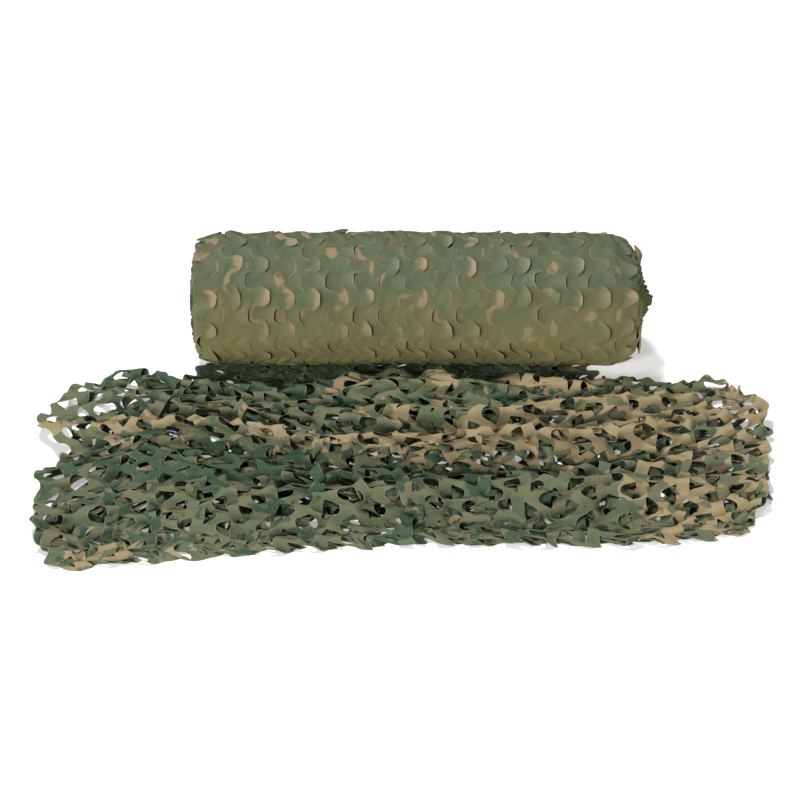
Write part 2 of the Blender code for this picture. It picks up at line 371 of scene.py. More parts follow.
def cut_bends(net, tongue, hollow, sharpness):
    """How far the cut edges are moved, [ribbon, row, place across].

    tongue and hollow hold a size for every line and cut. Every cut has a round tongue on one side and a
    hollow edge on the other. The move grows as half a cosine wave along the cut, and with a power of the way
    across the ribbon.
    """
    rows = np.arange(net.repeats * net.rows + 1)
    share = np.linspace(0.0, 1.0, net.quads + 1)
    bends = np.zeros((net.ribbons, len(rows), len(share)))
    for side in (0, 1):
        line = np.arange(net.ribbons)[:, None] + side
        place = rows[None, :] / net.rows - np.where(line % 2 == 0, 0.0, 0.5)
        cut = np.rint(place).astype(int)
        half = 0.5 - BRIDGE_SHARE / 2.0
        bend = np.cos(math.pi / 2.0 * np.clip(np.abs(place - cut) / half, 0.0, 1.0))
        tongue_here = (line % 2 == 0) == (side == 1)
        size = np.where(tongue_here, tongue[line, cut], hollow[line, cut])
        real = (line > 0) & (line < net.ribbons)
        towards_edge = share if side else 1.0 - share
        bends += (size * bend * real)[:, :, None] * towards_edge**sharpness
    return bends


def across_share(net, u):
    """A place u across the flat net as -1 to 1 between its selvedges."""
    return u / (net.ribbons * RIBBON_WIDTH / 2.0)


def per_cut(net, random, low, high):
    """A random number from low to high for every line and cut."""
    return random.uniform(low, high, (net.ribbons + 1, net.repeats + 2))


def keep_apart(first, second, rest, share, slack=0.0):
    """Moves two sets of corners along the lines between them, by a share of the way to their distance rest.

    Corners that are closer than that by less than the part slack of it are left alone.
    """
    gap = second - first
    length = np.sqrt((gap * gap).sum(axis=-1)) + 1e-9
    short = np.clip(rest * (1.0 - slack) - length, 0.0, None)
    long = np.clip(length - rest, 0.0, None)
    move = gap * (0.5 * share * (long - short) / length)[..., None]
    first += move
    second -= move


def tie(u, v, rows, places, share, slack):
    """The ties between all corners that lie rows and places apart: slices, flat length, strength, slack."""
    last = u.shape[2]
    first = (slice(None), slice(0, u.shape[1] - rows), slice(max(0, -places), last - max(0, places)))
    second = (slice(None), slice(rows, None), slice(max(0, places), last + min(0, places)))
    return first, second, np.hypot(u[second] - u[first], v[second] - v[first]), share, slack


def smooth_along(values, window):
    """The running mean of values over window rows, their ends repeated."""
    before = values[:, :1].repeat(window // 2 + 1, axis=1)
    after = values[:, -1:].repeat(window // 2, axis=1)
    total = np.cumsum(np.concatenate((before, values, after), axis=1), axis=1)
    return (total[:, window:] - total[:, :-window])[:, : values.shape[1]] / window


def stay_outside_roll(place):
    """Pushes corners out of the wound roll and off the floor."""
    ahead = place[..., 1] - ROLL_MIDDLE_Y
    over = place[..., 2] - ROLL_AXIS_HEIGHT
    from_axis = np.maximum(np.hypot(ahead, over), 1e-6)
    clear = ROLL_RADIUS + ROLL_CLEARANCE
    beside = np.abs(place[..., 0] - ROLL_MIDDLE_X) < NET_WIDTH / 2.0
    push = np.where(beside & (from_axis < clear), clear / from_axis, 1.0)
    place[..., 1] = ROLL_MIDDLE_Y + ahead * push
    place[..., 2] = np.maximum(ROLL_AXIS_HEIGHT + over * push, FLOOR_CLEARANCE)


def join_ribbons(place, line, row):
    """Brings both ribbons' corners at the bridges (line, row) together, in the middle between them."""
    middle = 0.5 * (place[line, row, -1] + place[line + 1, row, 0])
    place[line, row, -1] = middle
    place[line + 1, row, 0] = middle


def laid_down(place, line, row):
    """Lays steep leaves down, and keeps the bridges (line, row) joined.

    Each corner's rise over its ribbon's middle is limited to a share of its run, at the same distance.
    """
    middle = place.mean(axis=2, keepdims=True)
    off = place - middle
    distance = np.linalg.norm(off, axis=-1, keepdims=True)
    run = np.hypot(off[..., 0], off[..., 1])
    off[..., 2] = np.clip(off[..., 2], -STEEPEST_LEAF * run, STEEPEST_LEAF * run)
    place[:] = middle + off * distance / (np.linalg.norm(off, axis=-1, keepdims=True) + 1e-6)
    join_ribbons(place, line, row)


def rounded(place, line, row):
    """Moves every corner a quarter of the way to its neighbours' mean, along its ribbon and across it.

    The bridges (line, row) stay joined, and theirs is the mean of both ribbons.
    """
    place[:, 1:-1] += 0.25 * (place[:, 2:] - 2.0 * place[:, 1:-1] + place[:, :-2])
    place[:, :, 1:-1] += 0.25 * (place[:, :, 2:] - 2.0 * place[:, :, 1:-1] + place[:, :, :-2])
    middle = 0.5 * (place[line, row, -1] + place[line + 1, row, 0])
    middle += 0.25 * (place[line, row, -2] + place[line + 1, row, 1] - 2.0 * middle)
    place[line, row, -1] = middle
    place[line + 1, row, 0] = middle


def spread_net(net, laid, random):
    """The corners of a spread stretch of net, with u and v: [ribbon, row, place across, xyz].

    The flat net is laid on the surface laid(across, along), stretched as that is. Then each step draws every
    edge and diagonal back to its flat length, holds bends open, joins the bridges, and moves each ribbon's
    middle, but not its leaves, towards the surface, so that the cuts open and the leaves tilt.
    """
    u, v = flat_net(net, CUT_WAVE)
    target = laid(across_share(net, u), v / v.max())
    place = target.copy()
    up = per_cut(net, random, 0.0, 1.0) < UPWARD_TONGUES
    tongue = np.where(up, UPWARD_LIFT, -1.0) * TONGUE_LIFT * per_cut(net, random, *TONGUE_STARTS)
    hollow = -np.sign(tongue) * HOLLOW_DROP * per_cut(net, random, *HOLLOW_STARTS)
    place[..., 2] += cut_bends(net, tongue, hollow, START_SHARPNESS)
    place += random.normal(0.0, CRUMPLE, place.shape)
    ties = [tie(u, v, *settings) for settings in TIES]
    line, row = np.nonzero(bridged(net))
    over_bridge = np.hypot(u[line + 1, row, 1] - u[line, row, -2], v[line + 1, row, 1] - v[line, row, -2])
    beside = across_share(net, np.abs(u.mean(axis=(1, 2))))
    guidance = (GUIDANCE * (1.0 + SELVEDGE_GUIDANCE * beside**8))[:, None, None, None]
    for step in range(RELAX_STEPS):
        for first, second, rest, share, slack in ties:
            keep_apart(place[first], place[second], rest, share, slack)
        left = place[line, row, -2]
        right = place[line + 1, row, 1]
        keep_apart(left, right, over_bridge, *BRIDGE_TIE)
        place[line, row, -2] = left
        place[line + 1, row, 1] = right
        join_ribbons(place, line, row)
        if step < RELAX_STEPS - FREE_STEPS:
            off = smooth_along((target - place).mean(axis=2), net.rows)
            place += guidance * off[:, :, None]
        stay_outside_roll(place)
    laid_down(place, line, row)
    tongue_hangs = per_cut(net, random, *TONGUE_HANGS)
    hollow_hangs = per_cut(net, random, *HOLLOW_HANGS)
    place[..., 2] -= TONGUE_DROOP * cut_bends(net, tongue_hangs, hollow_hangs, HANG_SHARPNESS)
    for _ in range(SMOOTHINGS):
        rounded(place, line, row)
    stay_outside_roll(place)
    return u, v, place


class PrintAndShadePlace(NamedTuple):
    """A place where the print's colours gather, or where deep green and less tan are painted as shade: its
    middle and reach across and along, and how much.
    """

    name: str
    across: float
    along: float
    reach_across: float
    reach_along: float
    tan: float
    green: float


PRINT_AND_SHADE_PLACES = (
    PrintAndShadePlace("left_half", -0.60, 0.50, 0.45, 0.40, -0.04, 0.13),
    PrintAndShadePlace("main_crest", 0.00, 0.55, 0.70, 0.075, 0.17, -0.10),
    # Painted shade: the neck under the roll and the valleys in front of the main crest gather deep green and
    # lose tan.
    PrintAndShadePlace("neck", -0.10, 0.08, 1.10, 0.11, -0.30, 0.25),
    PrintAndShadePlace("valley", -0.10, 0.71, 0.60, 0.050, -0.22, 0.26),
    PrintAndShadePlace("left_valley", -0.45, 0.66, 0.25, 0.050, -0.15, 0.18),
    PrintAndShadePlace("right_half", 0.60, 0.50, 0.50, 0.250, 0.14, -0.10),
    PrintAndShadePlace("front_band", 0.00, 0.92, 0.55, 0.10, -0.30, 0.07),
    PrintAndShadePlace("left_corner", -0.90, 0.99, 0.20, 0.07, 0.22, -0.12),
    PrintAndShadePlace("right_corner", 0.85, 0.93, 0.26, 0.11, 0.20, -0.12),
    PrintAndShadePlace("left_wing", -0.85, 0.33, 0.30, 0.12, -0.14, 0.02),
    PrintAndShadePlace("wing_crest", -0.75, 0.53, 0.25, 0.045, 0.16, -0.12),
    PrintAndShadePlace("left_edge", -0.80, 0.78, 0.25, 0.10, -0.08, 0.00),
    PrintAndShadePlace("left_tuft", -0.17, 0.145, 0.07, 0.040, 0.70, -0.50),
    PrintAndShadePlace("middle_tuft", 0.01, 0.125, 0.07, 0.040, 0.20, -0.60),
    PrintAndShadePlace("next_tuft", 0.21, 0.150, 0.07, 0.040, 0.65, -0.50),
    PrintAndShadePlace("right_tuft", 0.60, 0.150, 0.12, 0.040, 0.60, -0.45),
)


def net_mesh(name, net, u, v, place, print_and_shade_places=(), leaf_tan=0.0, painted_relief=0.0):
    """A mesh of quads over the net's corners, its ribbons joined only at the bridges.

    The flat place of every corner is kept in the UV map cloth, in metres. cut_edge is 1 on the edges of the
    cuts and 0 inside a leaf, and the next two attributes say how the print's tan and green gather, and where
    deep green and less tan are painted as shade. leaf_tan is added to the first of these. The last argument
    is above 0 where raised leaf edges are painted lighter as highlight, and below where pressed ones are
    painted darker as shade.
    """
    ids = np.arange(u.size).reshape(u.shape)
    line, row = np.nonzero(bridged(net))
    ids[line + 1, row, 0] = ids[line, row, -1]
    corners = np.stack((ids[:, :-1, :-1], ids[:, 1:, :-1], ids[:, 1:, 1:], ids[:, :-1, 1:]), axis=-1)
    used, faces = np.unique(corners, return_inverse=True)
    faces = faces.reshape(-1, 4)
    mesh = bpy.data.meshes.new(name)
    mesh.from_pydata(place.reshape(-1, 3)[used], [], faces)
    flat = np.stack((u, v), axis=-1).reshape(-1, 2)[used]
    mesh.uv_layers.new(name="cloth").data.foreach_set("uv", flat[faces.ravel()].ravel())
    edge = np.zeros(u.shape)
    edge[:, :, (0, -1)] = 1.0
    edge[:, (0, -1)] = 1.0
    edge[line, row, -1] = 0.0
    edge[line + 1, row, 0] = 0.0
    across = across_share(net, u)
    layers = {
        "cut_edge": edge,
        "tan_print_and_shade": bells(across, v / v.max(), print_and_shade_places, "tan") + leaf_tan,
        "green_print_and_shade": bells(across, v / v.max(), print_and_shade_places, "green"),
        "painted_relief": painted_relief + np.zeros(u.shape),
    }
    for layer, values in layers.items():
        mesh.attributes.new(layer, "FLOAT", "POINT").data.foreach_set("value", values.ravel()[used])
    mesh.update()
    return mesh


def made_piece(name, mesh, materials):
    """Puts a mesh into the scene as a piece with its materials, and lets it ride on the object."""
    for material in materials:
        mesh.materials.append(material)
    made = placed(name, mesh)
    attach(made, "root")
    return made


def thickened(piece):
    """Gives a sheet its thickness, with its back in the second material and its cut rim in the third."""
    solidify = piece.modifiers.new("thickness", "SOLIDIFY")
    solidify.thickness = CLOTH_THICKNESS
    solidify.offset = 0.0
    solidify.material_offset = 1
    solidify.material_offset_rim = 2
    done = bpy.data.meshes.new_from_object(piece.evaluated_get(bpy.context.evaluated_depsgraph_get()))
    piece.modifiers.clear()
    piece.data = done
    done.polygons.foreach_set("use_smooth", np.ones(len(done.polygons), bool))
    done.set_sharp_from_angle(angle=CRISP_FROM)


class Signal:
    """An output in a material's tree: arithmetic on it and numbers adds Math nodes."""

    def __init__(self, tree, socket=None):
        self.tree = tree
        self.socket = socket

    def node(self, kind, settings=None, inputs=None, output=0):
        """Adds a node of this kind: its settings first, then the values or links of its sockets."""
        made = self.tree.nodes.new(kind)
        for name, value in (settings or {}).items():
            setattr(made, name, value)
        for name, value in (inputs or {}).items():
            if isinstance(value, Signal):
                self.tree.links.new(value.socket, made.inputs[name])
            else:
                made.inputs[name].default_value = value
        return Signal(self.tree, made.outputs[output])

    def maths(self, operation, first, second, clamped=False):
        """A Math node on two values."""
        settings = {"operation": operation, "use_clamp": clamped}
        return self.node("ShaderNodeMath", settings, {0: first, 1: second})

    def __add__(self, other):
        return self.maths("ADD", self, other)

    def __radd__(self, other):
        return self.maths("ADD", other, self)

    def __sub__(self, other):
        return self.maths("SUBTRACT", self, other)

    def __rsub__(self, other):
        return self.maths("SUBTRACT", other, self)

    def __mul__(self, other):
        return self.maths("MULTIPLY", self, other)

    def __rmul__(self, other):
        return self.maths("MULTIPLY", other, self)

    def over(self, edge, width):
        """0 below edge, 1 above edge + width, and a straight way between."""
        return self.maths("MULTIPLY", self - edge, 1.0 / width, clamped=True)

    def blend(self, below, above):
        """A colour that goes from below to above as this value goes from 0 to 1."""
        below = (*below, 1.0) if isinstance(below, tuple) else below
        above = (*above, 1.0) if isinstance(above, tuple) else above
        return self.node("ShaderNodeMix", {"data_type": "RGBA"}, {0: self, 6: below, 7: above}, output=2)

    def attribute(self, name):
        """The value that the mesh holds in this attribute."""
        return self.node("ShaderNodeAttribute", {"attribute_name": name}, output=2)

    def noise(self, place, scale, detail=2.0, rough=0.5):
        """Soft noise from 0 to 1 at a place, with scale bumps in a metre."""
        inputs = {"Vector": place, "Scale": scale, "Detail": detail, "Roughness": rough}
        return self.node("ShaderNodeTexNoise", {}, inputs)


TAN = (0.285, 0.216, 0.114)
OLIVE = (0.113, 0.113, 0.056)
SAGE = (0.082, 0.112, 0.054)
DEEP_GREEN = (0.021, 0.056, 0.029)
BARK = (0.050, 0.038, 0.025)
DUST = (0.190, 0.188, 0.120)
# The pale colour of the cut rims, also painted along the cut edges as a highlight where the curled edges
# catch the light.
CUT_RIM_AND_HIGHLIGHT = (0.310, 0.275, 0.175)
# Painted highlight on the roll's raised leaf edges, and painted shade on its pressed ones.
RELIEF_HIGHLIGHT_PAINT = (0.330, 0.310, 0.190)
RELIEF_SHADE_PAINT = (0.020, 0.026, 0.014)

GROUND_BLOTCHES = (10.0, 0.49, 0.02)  # in a metre, the noise from which the second colour shows, soft border
BARK_BLOTCHES = 14.0
BLOTCH_WANDER = ((0.08, 0.08, 0.0), 10.0)  # how far the borders of all blotches wander, and how often
PRINT_GAPS = (0.0, 3.1, 7.7, 12.9)  # ground, tan, green and bark read the noise this far apart
PATCH_EDGE = (0.72, 0.45)  # the noise from which tan or green would show at cover 0, less this times cover
BARK_EDGE = (0.76, 0.35)
HARD_BORDER = 0.015
DUST_SPOTS = (26.0, 4.0, 0.6)  # in a metre, their detail and roughness
DUST_EDGE = (0.30, 0.9)
DUST_COVER = 0.5
# Painted light: how far the roll is painted paler and yellower towards the floor.
LOW_LIGHT_PAINT_COVER = 0.75  # right by the floor
RIM_HIGHLIGHT_SPOTS = (30.0, 0.33, 0.3)  # where a cut edge takes the painted highlight: in a metre, the noise from which, soft border
RIM_HIGHLIGHT_BORDER = 0.2
RIM_HIGHLIGHT_COVER = 0.5
CLOTH_ROUGHNESS = (0.70, 0.20)  # where it is clean, and how much dust adds
CLOTH_SHINE = 0.3
WEAVE = {"Scale": 160.0, "Distortion": 0.6, "Detail": 1.0}
WEAVE_HEIGHT = 0.5
DUST_HEIGHT = 1.5
BUMP = {"Strength": 0.35, "Distance": 0.0012}


class Print(NamedTuple):
    """How one side of the cloth is printed: two ground colours, and how much the others cover, 0 to 1.

    blotches is how many there are in a metre, border how softly the tan ends, rim the value of cut_edge from
    which the painted highlight along the cut edge begins, and patch the tan's colour.
    """

    ground: tuple
    second: tuple
    tan: float
    green: float
    bark: float
    blotches: float = 9.0
    border: float = HARD_BORDER
    rim: float = 0.66
    patch: tuple = TAN


FACE_PRINT = Print(OLIVE, SAGE, 0.36, 0.18, 0.20)
BACK_PRINT = Print(DEEP_GREEN, SAGE, 0.06, 0.35, 0.10)
RIM_PRINT = Print(CUT_RIM_AND_HIGHLIGHT, TAN, 0.3, 0.0, 0.0)


def net_material(name, printed, painted_low_light=None):
    """Matt coated cloth: woodland blotches with wandering borders, a fine weave, dust, and a painted
    highlight along the cut edges.

    The last argument, if given, is a colour that the cloth is painted towards near the floor, as painted
    light, with the height where it ends. It also turns on the painted highlight and shade of raised and
    pressed leaves.
    """
    material = bpy.data.materials.new(name)
    material.use_nodes = True
    tree = material.node_tree
    shader = tree.nodes["Principled BSDF"]
    start = Signal(tree)
    cloth = start.node("ShaderNodeUVMap", {"uv_map": "cloth"})
    reach, often = BLOTCH_WANDER
    wander = start.node("ShaderNodeTexNoise", {}, {"Vector": cloth, "Scale": often, "Detail": 2.0}, output=1)
    shift = start.node("ShaderNodeVectorMath", {"operation": "MULTIPLY"}, {0: wander, 1: reach})
    bent = start.node("ShaderNodeVectorMath", {"operation": "ADD"}, {0: cloth, 1: shift})
    ground_place, tan_place, green_place, bark_place = [
        start.node("ShaderNodeVectorMath", {"operation": "ADD"}, {0: bent, 1: (gap, 2.0 * gap, 0.0)})
        for gap in PRINT_GAPS
    ]
    bare, cover = PATCH_EDGE
    tan_here = start.noise(tan_place, printed.blotches) + start.attribute("tan_print_and_shade")
    tan_here = tan_here.over(bare - cover * printed.tan, printed.border)
    green_here = start.noise(green_place, printed.blotches) + start.attribute("green_print_and_shade")
    green_here = green_here.over(bare - cover * printed.green, HARD_BORDER)
    bare, cover = BARK_EDGE
    bark_here = start.noise(bark_place, BARK_BLOTCHES).over(bare - cover * printed.bark, HARD_BORDER)
    blotches, second_from, border = GROUND_BLOTCHES
    second_here = start.noise(ground_place, blotches).over(second_from, border)
    colour = second_here.blend(printed.ground, printed.second)
    colour = green_here.blend(colour, DEEP_GREEN)
    colour = tan_here.blend(colour, printed.patch)
    colour = bark_here.blend(colour, BARK)
    dust = start.noise(cloth, *DUST_SPOTS)
    colour = (dust.over(*DUST_EDGE) * DUST_COVER).blend(colour, DUST)
    # Painted light: paler and yellower paint towards the floor, on the roll's lower part.
    if painted_low_light:
        low_light_colour, low_light_height = painted_low_light
        place = start.node("ShaderNodeTexCoord", output=3)
        low = 1.0 - start.node("ShaderNodeSeparateXYZ", {}, {0: place}, output=2).over(0.0, low_light_height)
        colour = (low * LOW_LIGHT_PAINT_COVER).blend(colour, low_light_colour)
        # Painted light and shade: raised leaf edges are painted lighter as highlight, pressed ones darker as
        # shade.
        painted_relief = start.attribute("painted_relief")
        colour = painted_relief.blend((0.0 - painted_relief).blend(colour, RELIEF_SHADE_PAINT), RELIEF_HIGHLIGHT_PAINT)
    # Pale spots of painted highlight along the cut edges, where their curl catches the light.
    spots, highlight_from, border = RIM_HIGHLIGHT_SPOTS
    highlight_spots = start.noise(cloth, spots).over(highlight_from, border)
    rim = start.attribute("cut_edge").over(printed.rim, RIM_HIGHLIGHT_BORDER) * highlight_spots * RIM_HIGHLIGHT_COVER
    colour = rim.blend(colour, CUT_RIM_AND_HIGHLIGHT)
    tree.links.new(colour.socket, shader.inputs["Base Color"])
    clean, dusted = CLOTH_ROUGHNESS
    tree.links.new((clean + dusted * dust).socket, shader.inputs["Roughness"])
    warp, weft = [
        start.node(
            "ShaderNodeTexWave",
            {"wave_type": "BANDS", "bands_direction": direction},
            {"Vector": cloth, **WEAVE},
            output=1,
        )
        for direction in ("X", "Y")
    ]
    height = warp * WEAVE_HEIGHT + weft * WEAVE_HEIGHT + dust * DUST_HEIGHT
    bump = start.node("ShaderNodeBump", {}, {**BUMP, "Height": height})
    tree.links.new(bump.socket, shader.inputs["Normal"])
    shader.inputs["Specular IOR Level"].default_value = CLOTH_SHINE
    return material


face_print = net_material("net_face", FACE_PRINT)
back_print = net_material("net_back", BACK_PRINT)
rim_print = net_material("net_cut_rim", RIM_PRINT)

net_random = np.random.default_rng(NET_SEED)
top_net = spread_net(LOOSE_TOP, top_place, net_random)
top_mesh = net_mesh("net_loose_top", LOOSE_TOP, *top_net, PRINT_AND_SHADE_PLACES)
loose_top = made_piece("net_loose_top", top_mesh, (face_print, back_print, rim_print))
thickened(loose_top)
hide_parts("net_loose_end")


# ----------------------------------------------------------------------
# The folded layers
#
# The rest of the cloth that was drawn off the roll. It is the same net, folded double and double again under
# the part that shows, with its cut end turned back under the front. Nothing holds it but its own weight.

FOLDED_NET = Stretch(34, 16, 12, 4)
TURNED_NET = Stretch(34, 6, 12, 4)
UNDER_SPAN_ALONG = (0.0, 0.99)  # the part of the spread cloth that has a second layer folded under it
# and its two edges across: share of the cloth's length, left, right
UNDER_EDGES = (
    (0.0, -0.76, 0.85), (0.35, -0.74, 0.93), (0.55, -0.92, 0.99), (0.8, -1.03, 0.99), (1.0, -1.05, 0.99),
)
UNDER_HEIGHT = 0.60  # how high the folded layer lies, as a share of the top one
BOTTOM_HEIGHT = 0.20  # the same for the fold's bottom layer
BOTTOM_ACROSS = (0.94, -0.01)  # its share of the layer above it across, and how far it is moved
BOTTOM_ALONG = (0.94, 0.05)  # and along
TURNED_SPAN_ALONG = (0.63, 0.985)  # the part of the cloth under which its cut end is turned back
TURNED_LEFT = (-0.72, -1.00)  # its left edge across, where it begins and by the front
TURNED_WIDENS = 0.45  # share of its length over which that edge moves
TURNED_RIGHT = 0.97
TURNED_HEIGHT = 0.42  # how high it lies, as a share of the top layer
# Painted shade: deep green and less tan where the folded layer lies under the roll.
UNDER_SHADE_PLACES = (PrintAndShadePlace("neck", 0.00, 0.04, 1.20, 0.10, -0.35, 0.45),)
FOLDED_PRINT = Print(OLIVE, SAGE, 0.16, 0.42, 0.14)
SHADED_PRINT = Print(DEEP_GREEN, BARK, 0.10, 0.20, 0.30)


def part_of_cloth(left, right, across, span, along, height, shift=0.0):
    """A part of the cloth's surface, pressed to a share of its height: left to right, over the span."""
    start, end = span
    place = cloth_place(left + (right - left) * (across + 1.0) / 2.0 + shift, start + (end - start) * along)
    place[..., 2] *= height
    return place


def under_place(across, along):
    """The layer folded under the top one: a narrower part of the same surface, pressed lower."""
    stations, left, right = zip(*UNDER_EDGES)
    left = through(stations, left, along)
    right = through(stations, right, along)
    wander = gathers(across, along, GATHERS_ACROSS)
    return part_of_cloth(left, right, across, UNDER_SPAN_ALONG, along, UNDER_HEIGHT, wander)


def bottom_place(across, along):
    """The fold's bottom layer: narrower still, and nearly flat on the floor."""
    share_across, shift = BOTTOM_ACROSS
    share_along, start = BOTTOM_ALONG
    place = under_place(share_across * across + shift, start + share_along * along)
    place[..., 2] *= BOTTOM_HEIGHT / UNDER_HEIGHT
    return place


def turned_place(across, along):
    """The cut end turned back under the front, between the other two layers, and narrower where it begins."""
    behind, front = TURNED_LEFT
    left = front + (behind - front) * np.clip(1.0 - along / TURNED_WIDENS, 0.0, 1.0)
    return part_of_cloth(left, TURNED_RIGHT, across, TURNED_SPAN_ALONG, along, TURNED_HEIGHT)


folded_print = net_material("net_folded", FOLDED_PRINT)
shaded_print = net_material("net_shaded", SHADED_PRINT)
folded_sides = (folded_print, back_print, rim_print)
bottom_sides = (back_print, shaded_print, rim_print)
turned_random = np.random.default_rng(NET_SEED + 1)

under = ("net_loose_folded_under", FOLDED_NET, under_place, net_random, folded_sides, UNDER_SHADE_PLACES)
bottom = ("net_loose_folded_back", FOLDED_NET, bottom_place, net_random, bottom_sides, ())
turned = ("net_loose_turned_under", TURNED_NET, turned_place, turned_random, folded_sides, ())
for (name, net, laid, random, sides, print_and_shade_places), rests_on in (
    (under, ["net_loose_turned_under", "net_loose_folded_back"]),
    (bottom, []),
    (turned, ["net_loose_folded_back"]),
):
    mesh = net_mesh(name, net, *spread_net(net, laid, random), print_and_shade_places)
    layer = made_piece(name, mesh, sides)
    thickened(layer)
    flat = (net.ribbons * RIBBON_WIDTH, net.repeats * CUT_REPEAT)


# ----------------------------------------------------------------------
# The wound roll
#
# Some thirty metres of the same net, wound tight with its greener side out. The cuts of its outer turn are
# pulled nearly closed, and their tongues stand a little off. Nothing holds it but the grip of its turns.

ROLL_NET = Stretch(RIBBONS, REPEATS_ROUND_ROLL, 14, 6)
ROLL_WAVE = 0.0145  # wound tight, the lines of cuts are drawn straighter


class RollEnd(NamedTuple):
    """An end of the roll: its distance, its corner's radius, how much more that is on top, its bulge."""

    half: float
    shoulder: float
    sag: float
    bulge: float


LEFT_END = RollEnd(0.738, 0.080, 0.0, 0.012)
RIGHT_END = RollEnd(0.708, 0.115, 0.008, 0.046)
CROWN_POWER = 1.25  # an end's bulge grows with this power of the way to its middle
ROLL_TONGUE_LIFT = 0.010
ROLL_SLIT = 0.0050  # how far a cut gapes
# how the edges of a cut move: tongue and hollow edge on even lines, the same on odd ones, and how sharply
ROLL_STANDING = ((1.0, -0.2), (-0.2, 0.65), 2.2)
ROLL_GAPING = ((0.0, 0.6), (1.0, 0.0), 5.0)
# the next two give where raised edges are painted lighter as highlight, and pressed ones darker as shade
ROLL_PAINTED_HIGHLIGHT = ((1.0, 0.0), (0.0, 0.6), 1.3)
ROLL_PAINTED_SHADE = ((0.0, 1.0), (1.0, 0.0), 1.3)
LEAST_STANDING = 0.15  # the least share of its lift that a leaf stands over the next
STANDING_POWER = 1.6  # above 1, so that most stand little
TOP_CUTS = (4.9, 0.9)  # the cuts along the top: which round the roll, and their reach
TOP_LESS_STANDING = 0.7
END_LINES = (0.40, 0.08)  # the lines by the ends: from this share of the roll's length, over this much
STRAY_TONGUE_LIFT = 0.011  # for the few tongues that stand off
STRAY_TONGUES = (0.06, 0.35, 0.80)  # the share of those everywhere, and how many more by the ends and on top
LEAST_STRAY = 0.4  # the least share of that lift
STRAY_AT_ENDS = 1.4  # how much further they stand off by the ends
STRAY_HOLLOW = 0.5
STRAY_SHARPNESS = 1.2
ROLL_QUILT = 0.0035  # a leaf's middle stands up from its edges, by about this
QUILT_SPREAD = (0.2, 1.3)
QUILT_ON_TOP = 2.4  # how much more it is on top
ROLL_LUMPS = ((1.3, 1.0, 0.4, 0.0028), (4.1, -2.0, 1.7, 0.0020), (8.2, 3.0, 2.9, 0.0016))
# the turn is pulled a little askew: waves round it, waves along it, phase, shift along and round
ROLL_ASKEW_ALONG = ((3.0, 9.0, 0.4, 0.0040), (5.0, -13.0, 1.3, 0.0030), (8.0, 31.0, 2.2, 0.0020))
ROLL_ASKEW_ROUND = ((2.0, -7.0, 0.9, 0.0045), (4.0, 17.0, 2.0, 0.0035), (7.0, -37.0, 0.2, 0.0020))
ROLL_PATCH = (0.235, 0.160, 0.088)
ROLL_GROUND = (0.056, 0.082, 0.039)
ROLL_SECOND = (0.073, 0.081, 0.035)
ROLL_PRINT = Print(ROLL_GROUND, ROLL_SECOND, 0.12, 0.0, 0.0, 20.0, 0.14, 0.55, ROLL_PATCH)
ROLL_RELIEF_PAINT = (0.46, 0.46)  # how strongly the raised leaves are painted lighter as highlight, and the pressed ones darker as shade
ROLL_TAN_LEAVES = (0.25, 0.14, 0.14)  # the share that shows tan, and how many more in front and by the ends
LOW_IN_FRONT = (7.0, 2.0)  # from this cut round the roll, over this many
TAN_LEAF = 0.49  # how strongly such a leaf takes the tan
TAN_HOLLOW = 0.3  # and the hollow edge of its cut, as a share of that
# Painted light: the roll's lower part is painted paler and yellower towards the floor.
ROLL_PAINTED_LOW_LIGHT = ((0.310, 0.272, 0.098), 0.36)  # its colour, and the height where it ends


def on_roll(u, turn, lift):
    """A place on the roll: u along it over its side and round its shoulders, turn round it, lift off it.

    The profile is straight along the side, then a quarter circle of the shoulder's radius, then runs towards
    the axis over the end's low crown. Turn 0 is at the back and a quarter turn is at the top.
    """
    left, right = LEFT_END, RIGHT_END
    shoulder = np.where(u < 0.0, left.shoulder, right.shoulder + right.sag * np.sin(turn))
    side = np.where(u < 0.0, left.half, right.half) - shoulder
    past = np.clip(np.abs(u) - side, 0.0, None)
    bend = np.clip(past / shoulder, 0.0, math.pi / 2.0)
    inwards = np.clip(past - shoulder * math.pi / 2.0, 0.0, None)
    crown = np.where(u < 0.0, left.bulge, right.bulge) * (inwards / (ROLL_RADIUS - shoulder)) ** CROWN_POWER
    x = np.minimum(np.abs(u), side) + (shoulder + lift) * np.sin(bend) + crown
    radius = ROLL_RADIUS - shoulder + (shoulder + lift) * np.cos(bend) - inwards
    y = radius * np.cos(turn)
    z = np.maximum(ROLL_AXIS_HEIGHT + radius * np.sin(turn), FLOOR_CLEARANCE)
    return np.stack((ROLL_MIDDLE_X + np.sign(u) * x, ROLL_MIDDLE_Y + y, z), axis=-1)


even_line = (np.arange(ROLL_NET.ribbons + 1) % 2 == 0)[:, None]
cut_round = np.arange(ROLL_NET.repeats + 2)
line_share = np.arange(ROLL_NET.ribbons + 1) / ROLL_NET.ribbons


def roll_bends(even, odd, sharpness, size):
    """How far the roll's cut edges are moved: the table's shares for even and odd lines, times size."""
    tongue = np.where(even_line, even[0], odd[0])
    hollow = np.where(even_line, even[1], odd[1])
    return cut_bends(ROLL_NET, tongue * size, hollow * size, sharpness)


roll_print = net_material("net_roll_outside", ROLL_PRINT, painted_low_light=ROLL_PAINTED_LOW_LIGHT)

roll_u, roll_v = flat_net(ROLL_NET, ROLL_WAVE)
roll_share = np.linspace(0.0, 1.0, ROLL_NET.quads + 1)
roll_turn = -math.pi / 2.0 + roll_v / ROLL_RADIUS
top_tongue = np.exp(-(((cut_round - TOP_CUTS[0]) / TOP_CUTS[1]) ** 2))
end_tongue = np.clip((np.abs(line_share - 0.5) - END_LINES[0]) / END_LINES[1], 0.0, 1.0)[:, None]
